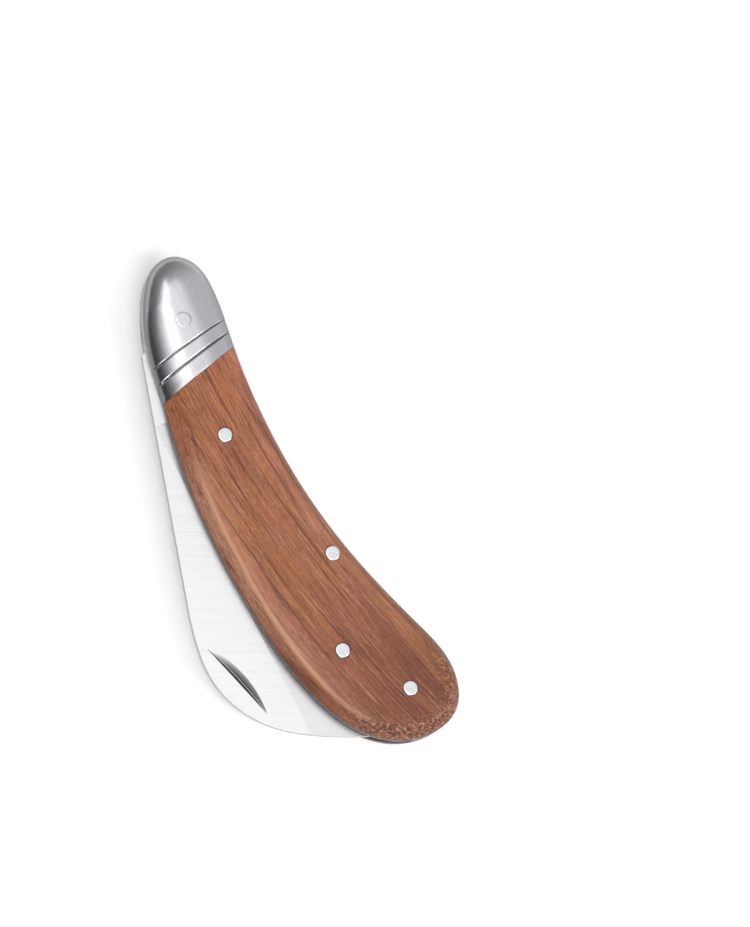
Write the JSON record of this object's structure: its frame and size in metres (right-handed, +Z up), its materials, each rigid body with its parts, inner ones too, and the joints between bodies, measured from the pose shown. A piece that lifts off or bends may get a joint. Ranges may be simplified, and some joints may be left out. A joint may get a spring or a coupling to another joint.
{
  "type": "folding grafting knife",
  "caption": "Folding grafting knife with a curved wooden handle, steel bolsters and a broad blade that swings out on a pivot and closes into the handle.",
  "frame": {"origin": "middle of the closed knife's box, on the surface that it lies on", "axes": "+X towards the bolster and pivot end, +Y towards the side that the blade opens from, +Z up through the thickness, with the knife lying on its side"},
  "size_m": [0.105, 0.0422, 0.012],
  "materials": {
    "blade_steel": "satin brushed across the blade",
    "spring_steel": "satin ground",
    "liner_steel": "satin",
    "bolster_steel": "fine satin polish",
    "pin_aluminium": "ground flush and polished",
    "scale_wood": "oiled satin, open grain"
  },
  "bodies": {
    "handle": {"backspring": "spring_steel", "liner_top": "liner_steel", "liner_bottom": "liner_steel", "bolster_top": "bolster_steel", "bolster_bottom": "bolster_steel", "scale_top": "scale_wood", "scale_bottom": "scale_wood", "pivot_pin": "bolster_steel", "spring_centre_pin": "pin_aluminium", "spring_end_pin": "pin_aluminium", "scale_pin_front_top": "pin_aluminium", "scale_pin_front_bottom": "pin_aluminium", "scale_pin_rear_top": "pin_aluminium", "scale_pin_rear_bottom": "pin_aluminium"},
    "blade": {"blade": "blade_steel"}
  },
  "joints": [
    {"name": "blade_pivot", "type": "hinge", "parent": "handle", "child": "blade", "pos_m": [0.03967, -0.00643, 0.006], "axis": [0, 0, -1], "range_deg": [0, 180]}
  ]
}
